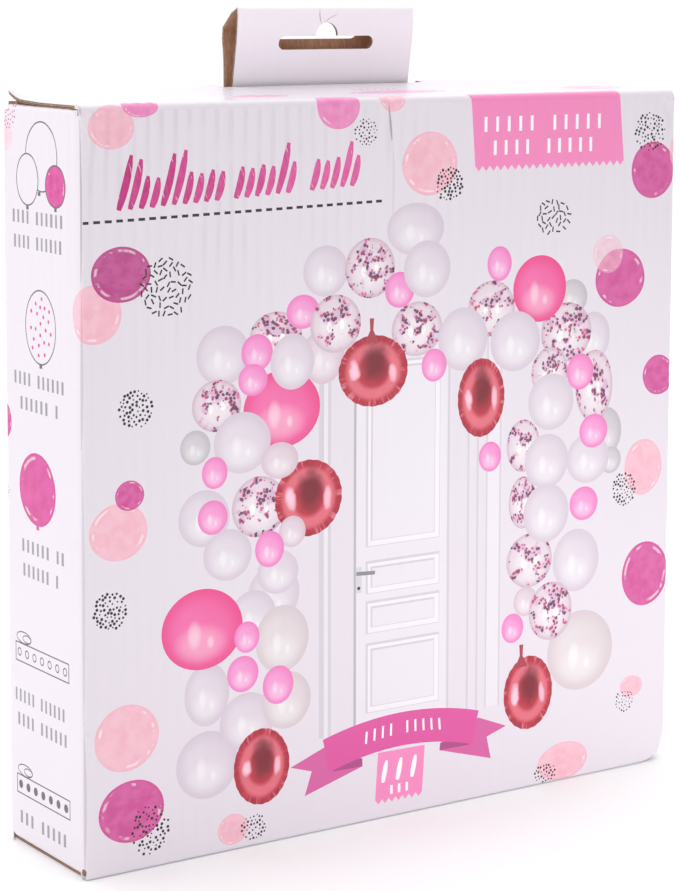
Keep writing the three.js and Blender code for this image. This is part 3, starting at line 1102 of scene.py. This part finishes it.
# %% [markdown]
# ## The front panel
#
# The front is flat in the middle and bends round a small radius at its two upright creases and at
# the bottom crease. Past the upright creases it becomes the sides, so the panel takes the creases
# with it and stops just round the corner. There it stands 2 mm higher, in two small ears that
# close the corner under the top flap. The base is the same sheet, carried on under the box.

# %% Fold for the front and the base
FLAT_HALF = HALF_WIDTH - CORNER
ROUND_END = FLAT_HALF + CORNER * math.pi / 2
PANEL_HALF = ROUND_END + 1.03
SIDE_HALF = SIDE_MIDDLE - PANEL_HALF
BASE_HALF = HALF_WIDTH - 0.7
EAR_TOP = LID_FOOT + 2.0
EAR_FROM = ROUND_END + 0.05


def around(u):
    """Across and back on a panel with rounded upright creases, before its wear."""
    a = np.abs(u)
    angle = np.clip((a - FLAT_HALF) / CORNER, 0, math.pi / 2)
    x = np.sign(u) * (np.minimum(a, FLAT_HALF) + CORNER * np.sin(angle))
    y = CORNER * (1 - np.cos(angle)) + np.maximum(a - ROUND_END, 0)
    return x, y, np.sign(u) * angle


def front_fold(u, v):
    """The front panel and the base under it."""
    x, y, angle = around(u)
    dip_angle = np.clip((CREASE - v) / CREASE, 0, math.pi / 2)
    under = np.maximum(CREASE - v - CREASE * math.pi / 2, 0)
    y = y + CREASE * (1 - np.cos(dip_angle)) + under
    z = np.maximum(v, CREASE) - CREASE * np.sin(dip_angle)
    pushed = wear(u, v)
    x = x - pushed * np.sin(angle) * np.cos(dip_angle)
    y = y + pushed * np.cos(angle) * np.cos(dip_angle)
    z = z + 0.4 * pushed * np.sin(dip_angle)
    return crushed(np.stack([x, y - HALF_DEPTH, z], axis=1))


corner_columns = [side * a for side in (-1, 1) for a in np.arange(FLAT_HALF, PANEL_HALF, 0.42)]
crease_rows = list(np.arange(-1.6, 2.4, 0.4))
base_step = CREASE * (math.pi / 2 - 1)
front_outline = [(-PANEL_HALF, 2), (-BASE_HALF, 2), (-BASE_HALF, -3), (BASE_HALF, -3), (BASE_HALF, 2),
                 (PANEL_HALF, 2), (PANEL_HALF, EAR_TOP), (EAR_FROM, EAR_TOP), (EAR_FROM, LID_FOOT),
                 (-EAR_FROM, LID_FOOT), (-EAR_FROM, EAR_TOP), (-PANEL_HALF, EAR_TOP)]
front_sheet = cut_sheet(front_outline, blank_inks, close_columns=corner_columns, close_rows=crease_rows)
front_panel = new_panel("front_panel", front_sheet, front_fold)
base_back = 2 * HALF_DEPTH - 2 * BOARD - base_step
base_outline = [(-BASE_HALF, -base_back), (BASE_HALF, -base_back), (BASE_HALF, -3), (-BASE_HALF, -3)]
base_panel = new_panel("base_panel", cut_sheet(base_outline, blank_inks), front_fold)

# %% [markdown]
# ## The side panels with their dust flaps
#
# Each side carries a short dust flap at its top and at its bottom, folded in under the top flap
# and over the base. One crease line, a path with rounded corners, runs from the lower flap's end,
# out to the side, up it, and in again along the upper flap. A place on the blank is carried along
# that path by its distance. The upper flap is set in a little more at its rear than at its front.

# %% A path with rounded corners
class CreaseLine:
    """Follows straight runs joined by rounded corners, by distance along the line."""

    def __init__(self, corners):
        points = [np.array(corners[0][:2], float)]
        for before, corner, after in zip(corners, corners[1:], corners[2:]):
            here = np.array(corner[:2], float)
            a = np.array(before[:2], float) - here
            b = np.array(after[:2], float) - here
            a /= np.linalg.norm(a)
            b /= np.linalg.norm(b)
            half = math.acos(np.clip(a @ b, -1, 1)) / 2
            centre = here + (a + b) / np.linalg.norm(a + b) * corner[2] / math.sin(half)
            reach = corner[2] / math.tan(half)
            start, end = here + a * reach - centre, here + b * reach - centre
            sweep = math.pi - 2 * half
            for share in np.linspace(0, 1, 25):
                spoke = math.sin((1 - share) * sweep) * start + math.sin(share * sweep) * end
                points.append(centre + spoke / math.sin(sweep))
        points.append(np.array(corners[-1][:2], float))
        self.points = np.array(points)
        steps = np.linalg.norm(np.diff(self.points, axis=0), axis=1)
        self.distance = np.concatenate([[0], np.cumsum(steps)])
        self.length = float(self.distance[-1])

    def at(self, distance):
        """The two coordinates at a distance, carried straight on past either end."""
        places = []
        for axis in (0, 1):
            value = np.interp(distance, self.distance, self.points[:, axis])
            first = (self.points[1, axis] - self.points[0, axis]) / self.distance[1]
            last = self.points[-1, axis] - self.points[-2, axis]
            last = last / (self.distance[-1] - self.distance[-2])
            before = first * np.minimum(distance, 0)
            places.append(value + before + last * np.maximum(distance - self.length, 0))
        return places

    def way(self, distance):
        """The unit direction along the line."""
        a1, b1 = self.at(distance + 0.05)
        a0, b0 = self.at(distance - 0.05)
        size = np.hypot(a1 - a0, b1 - b0)
        return (a1 - a0) / size, (b1 - b0) / size

    def where(self, height):
        """The distance at which the line first reaches this second coordinate."""
        return float(np.interp(height, self.points[:, 1], self.distance))


def outer(line, distance):
    """The outside of the board whose middle follows a crease line."""
    a, b = line.at(distance)
    way_a, way_b = line.way(distance)
    return a - HALF_BOARD * way_b, b + HALF_BOARD * way_a, -way_b, way_a


wall = HALF_WIDTH - HALF_BOARD
lower_mid = lower_low.z + HALF_BOARD
upper_mid = upper_high.z - HALF_BOARD
SIDE_CREASE = 1.0
side_line = CreaseLine([(upper_high.x, lower_mid, 0), (-wall, lower_mid, SIDE_CREASE),
                        (-wall, upper_mid, SIDE_CREASE), (upper_high.x, upper_mid, 0)])
side_rise = side_line.where(150) - 150
print("side crease line", round(side_line.length, 1), "mm long")

# %% Fold and cut both side panels
def side_fold(side):
    """The left side panel at side -1, the right one at side 1."""
    def fold(u, v):
        x, z, out_x, out_z = outer(side_line, v + side_rise)
        pushed = wear(u, v)
        across = (u - side * SIDE_MIDDLE) * side
        return crushed(np.stack([-side * (x - pushed * out_x), across, z - pushed * out_z], axis=1))
    return fold


flap_end = side_line.length - side_rise
flap_start = -side_rise
wall_foot, wall_top = lower_mid + 1.0, LID_FOOT
side_rows = [*np.arange(flap_start + 56, wall_foot + 4, 0.5), *np.arange(wall_top - 3, wall_top + 5, 0.5)]
for name, side in (("left", -1), ("right", 1)):
    lower_half = SIDE_HALF - 0.4
    plus_half, minus_half = (SIDE_HALF - 1.2, SIDE_HALF - 0.3)[::side]
    side_outline = [(-lower_half, flap_start), (lower_half, flap_start), (lower_half, wall_foot),
                    (SIDE_HALF, wall_foot), (SIDE_HALF, wall_top), (plus_half, wall_top),
                    (plus_half, flap_end), (-minus_half, flap_end), (-minus_half, wall_top),
                    (-SIDE_HALF, wall_top), (-SIDE_HALF, wall_foot), (-lower_half, wall_foot)]
    sheet = cut_sheet(moved(side_outline, side * SIDE_MIDDLE), blank_inks, close_rows=side_rows)
    side_panel = new_panel("side_" + name, sheet, side_fold(side))
    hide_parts("carton_body", "upper_dust_flap_" + name, "lower_dust_flap_" + name)

# %% [markdown]
# ## The back panel
#
# The back is the front turned round, without the bottom crease: its foot is glued to the base's
# edge. On the blank it lies beyond the left side, so its middle is twice as far from the front's.

# %% Fold and cut the back panel
def back_fold(u, v):
    """The back panel, the front's shape turned half way round."""
    x, y, angle = around(u + BACK_MIDDLE)
    pushed = wear(u, v)
    x = x - pushed * np.sin(angle)
    y = y + pushed * np.cos(angle)
    return np.stack([-x, HALF_DEPTH - y, v], axis=1)


BACK_SHOULDER = FLAT_HALF - 0.6
back_outline = [(-PANEL_HALF, 0.3), (PANEL_HALF, 0.3), (PANEL_HALF, LID_FOOT),
                (BACK_SHOULDER, LID_FOOT), (BACK_SHOULDER, BACK_TOP), (-BACK_SHOULDER, BACK_TOP),
                (-BACK_SHOULDER, LID_FOOT), (-PANEL_HALF, LID_FOOT)]
back_columns = [u - BACK_MIDDLE for u in corner_columns]
back_sheet = cut_sheet(moved(back_outline, -BACK_MIDDLE), blank_inks, close_columns=back_columns)
back_panel = new_panel("back_panel", back_sheet, back_fold)

# %% [markdown]
# ## The top flap
#
# The top flap is creased off the front, rises gently to the back and tucks down inside in a short
# tongue. A notch at its back edge clears the hang tab. Much opened, it no longer lies flat: its
# left back corner curls up and its edges wave a little beside the tab.

# %% Fold and cut the top flap
LID_HALF = lid_high.x + 0.7
RISE_MIDDLE = 305.88
RISE_BACK = 308.4
TUCK = lid_high.y - HALF_BOARD
front_mid = HALF_BOARD - HALF_DEPTH
lid_line = CreaseLine([(front_mid, LID_FOOT, 0), (front_mid, 304.2, 2), (0, RISE_MIDDLE, 60),
                       (TUCK - 0.7, RISE_BACK, 1.4), (TUCK, lid_low.z, 0)])
lid_end = LID_FOOT + lid_line.length
TONGUE = 15
tuck_from = lid_end - TONGUE
lid_wall = LID_FOOT + 4


def lid_lift(u, v):
    """How far the tired flap stands off its place, in millimetres."""
    back = np.clip((v - lid_wall) / (tuck_from - lid_wall), 0, 1)
    settled = -3.2 * bell(u + 150, 75) * back
    curl = 3.0 * bell(u + 149, 5.0) * np.clip((back - 0.8) / 0.2, 0, 1) ** 2
    beside_tab = 0.5 * bell(u + 56, 9) * back ** 3 + 0.3 * bell(u - 58, 9) * back ** 3
    sag = -0.6 * bell(u - 5, 120) * np.sin(math.pi * back)
    return settled + curl + beside_tab + sag


def lid_fold(u, v):
    """The top flap, closed."""
    y, z, out_y, out_z = outer(lid_line, v - LID_FOOT)
    pushed = wear(u, v)
    return np.stack([u + 0 * v, y - pushed * out_y, z - pushed * out_z + lid_lift(u, v)], axis=1)


NOTCH_LEFT, NOTCH_RIGHT, NOTCH_FRONT = -52.0, 50.0, 22.5
notch_from = LID_FOOT + float(np.interp(NOTCH_FRONT, lid_line.points[:80, 0], lid_line.distance[:80]))
lid_outline = [(-LID_HALF, LID_FOOT), (LID_HALF, LID_FOOT), (LID_HALF, tuck_from),
               (LID_HALF - 4, tuck_from + 2), (LID_HALF - 5, lid_end), (NOTCH_RIGHT, lid_end),
               (NOTCH_RIGHT, notch_from), (NOTCH_LEFT, notch_from), (NOTCH_LEFT, lid_end),
               (5 - LID_HALF, lid_end), (4 - LID_HALF, tuck_from + 2), (-LID_HALF, tuck_from)]
lid_rows = [*np.arange(LID_FOOT, LID_FOOT + 8, 0.5), *np.arange(tuck_from - 4, tuck_from + 4, 0.5),
            *np.arange(lid_wall, tuck_from, 2.0)]
lid_sheet = cut_sheet(lid_outline, blank_inks, close_rows=lid_rows)
lid = new_panel("lid", lid_sheet, lid_fold)
print("top flap is", round(lid_line.length, 1), "mm from its crease to the tongue's end")

# %% [markdown]
# ## The hang tab
#
# The tab runs up from the back panel, folds over and comes down again in front as a second leaf,
# whose tail is tucked inside. Both leaves have a slot with a half-round notch, for a display hook.
# The leaves lean together, so behind the front slot shows the brown inside of the back leaf. The
# back leaf's slot is cut a little larger and higher, so that the notch stays open right through.

# %% Crease line of the hang tab
tab_line = CreaseLine([(31.7, BACK_TOP, 0), (31.9, 320, 40), (33.5, 331.8, 1.2), (21.0, 342.6, 1.1),
                       (22.0, 329, 60), (25.7, 307.8, 40), (28.9, tab_low.z, 0)])
tab_peak = int(np.argmax(tab_line.points[:, 1]))
SLOT_HALF, HOOK_ROUND = 24.2, 5.7
# A whiter copy of the board's white for the tab: painted light, making up for the light the
# downward-leaning tab misses.
TAB_PAINTED_LIGHT = colour(252, 245, 252)
TAB_MIDDLE = -(tab_low.x + tab_high.x) / 2 - BACK_MIDDLE
TAB_HALF = (tab_high.x - tab_low.x) / 2


def front_leaf(height):
    """The distance along the tab's line at a height on its front leaf."""
    down = tab_line.points[tab_peak:, 1][::-1]
    return BACK_TOP + float(np.interp(height, down, tab_line.distance[tab_peak:][::-1]))


def back_leaf(height):
    """The distance along the tab's line at a height on its back leaf."""
    return BACK_TOP + float(np.interp(height, tab_line.points[:tab_peak, 1], tab_line.distance[:tab_peak]))


print("tab strip is", round(tab_line.length, 1), "mm long")

# %% Slots of the hang tab
def slot_ring(low, high, upward):
    """A round-ended slot with a half-round notch for the hook in its upper edge."""
    half = abs(high - low) / 2
    middle = (low + high) / 2
    ring = []
    for side in (1, -1):
        for step in range(13):
            angle = math.pi * (step / 12 - 0.5)
            a = side * (SLOT_HALF - half + half * math.cos(angle))
            ring.append((a, side * half * math.sin(angle)))
        if side == 1:
            for step in range(17):
                angle = math.pi * step / 16
                ring.append((HOOK_ROUND * math.cos(angle), half + HOOK_ROUND * math.sin(angle)))
    return [(TAB_MIDDLE - upward * a, middle + upward * b) for a, b in ring]


front_slot = slot_ring(front_leaf(323.55), front_leaf(329.25), -1)
back_bend = back_leaf(331.8)
back_slot = slot_ring(back_bend - 4.2, back_bend + 5.0, 1)
print("slots are", 2 * SLOT_HALF, "mm long")

# %% Fold and cut the hang tab
def tab_fold(u, v):
    """The hang tab, from the back panel over its top and down in front."""
    y, z, in_y, in_z = outer(tab_line, v - BACK_TOP)
    off = BOARD - 0.04 * (1 + np.cos(math.tau * u / RIPPLE_PITCH)) / 2
    off = off - 0.25 * bell(u - TAB_MIDDLE - 6 * np.sin(v * 0.5), 1.5) * bell(v - front_leaf(337.5), 3.5)
    return np.stack([-(u + BACK_MIDDLE), y - off * in_y, z - off * in_z], axis=1)


tab_end = BACK_TOP + tab_line.length
tab_outline = moved([(-TAB_HALF, BACK_TOP), (TAB_HALF, BACK_TOP), (TAB_HALF, tab_end),
                     (-TAB_HALF, tab_end)], TAB_MIDDLE)
tab_rows = [*np.arange(back_leaf(329), front_leaf(339), 0.5), *np.arange(BACK_TOP, tab_end, 1.5)]
tab_inks = []
# The whole tab is covered in that whiter white: painted light.
ink(tab_outline, TAB_PAINTED_LIGHT, inks=tab_inks)
CRACK = colour(168, 148, 160)
upright_crack = brush_stroke(TAB_MIDDLE + 3.4, front_leaf(337.2), 6.5, 0.5, -12, bow=0.5)
level_crack = brush_stroke(TAB_MIDDLE - 1.6, front_leaf(336.4), 8.0, 0.4, 62, bow=0.4)
ink(upright_crack, CRACK, cover=0.8, inks=tab_inks)
ink(level_crack, CRACK, cover=0.6, inks=tab_inks)
tab_sheet = cut_sheet(tab_outline, tab_inks, [front_slot, back_slot], close_rows=tab_rows)
hang_tab = new_panel("hang_tab_board", tab_sheet, tab_fold)

# %% [markdown]
# ## What each panel rides on
#
# The imported nodes stay, hidden. The imported nodes stay for collision, and each new panel says
# which node it stands for. All but the top flap ride on the carton, and the top flap's mesh is
# fixed where it stands.

# %% Tie the panels to the imported carton
for panel in (front_panel, base_panel, back_panel):
    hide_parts("carton_body")
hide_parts("hang_tab")
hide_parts("top_flap")
side_panels = [bpy.data.objects["side_left"], bpy.data.objects["side_right"]]
for panel in (front_panel, base_panel, back_panel, hang_tab, *side_panels):
    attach(panel, "carton")
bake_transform(lid)
print("panels tied")

# %% [markdown]
# ## Floor and light
#
# The carton stands on a plain white floor that runs far past the view, so no horizon shows. Soft
# light from all round keeps shadows weak, as on a product table, and the room is brightest high
# up behind on the left. One large soft lamp overhead bleaches the top flap and one from the left
# lights the side. A small lamp low in front lifts the lower part of the front; it is kept out of
# reflections, so that the varnish shows no second spot of light.

# %% Floor
floor_mesh = bpy.data.meshes.new("floor")
floor_shape = bmesh.new()
bmesh.ops.create_grid(floor_shape, x_segments=1, y_segments=1, size=150)
floor_shape.to_mesh(floor_mesh)
floor_shape.free()
floor = bpy.data.objects.new("floor", floor_mesh)
bpy.context.scene.collection.objects.link(floor)
floor_white, tree, shader = new_material("floor_white", 0.9)
shader.inputs["Base Color"].default_value = (0.96, 0.96, 0.96, 1)
shader.inputs["Specular IOR Level"].default_value = 0.0
floor_mesh.materials.append(floor_white)
print("floor laid")

# %% Lamps and the room's light
def lamp(name, place, aim, size, power):
    """A soft square lamp that faces a point; places in metres."""
    data = bpy.data.lights.new(name, "AREA")
    data.shape = "SQUARE"
    data.size = size
    data.energy = power
    made = bpy.data.objects.new(name, data)
    bpy.context.scene.collection.objects.link(made)
    towards = (Vector(place) - Vector(aim)).to_track_quat("Z", "Y").to_matrix().to_4x4()
    made.matrix_world = Matrix.Translation(place) @ towards
    return made


lamp("overhead", (0.2, 0.3, 1.7), (0, 0, 0.3), 1.4, 6)
lamp("from_left", (-1.9, -0.6, 0.5), (0, 0, 0.15), 0.8, 2.2)
low_front = lamp("low_front", (0.3, -0.48, 0.05), (0.04, -0.03, -0.05), 0.25, 0.19)
low_front.data.spread = math.radians(75)
low_front.visible_glossy = False
low_front.visible_camera = False
world = bpy.data.worlds.new("room")
world.use_nodes = True
tree = world.node_tree
direction = put(tree, "TexCoord", output="Generated")
BRIGHT_SIDE = (-0.30, 0.66, 0.69)
facing = put(tree, "VectorMath", {0: direction, 1: BRIGHT_SIDE}, output="Value", operation="DOT_PRODUCT")
strength = put(tree, "MapRange", {0: facing, 1: -0.7, 2: 0.8, 3: 0.38, 4: 1.32})
background = tree.nodes["Background"]
background.inputs["Color"].default_value = WHITE
tree.links.new(strength, background.inputs["Strength"])
bpy.context.scene.world = world
print("lamps placed")
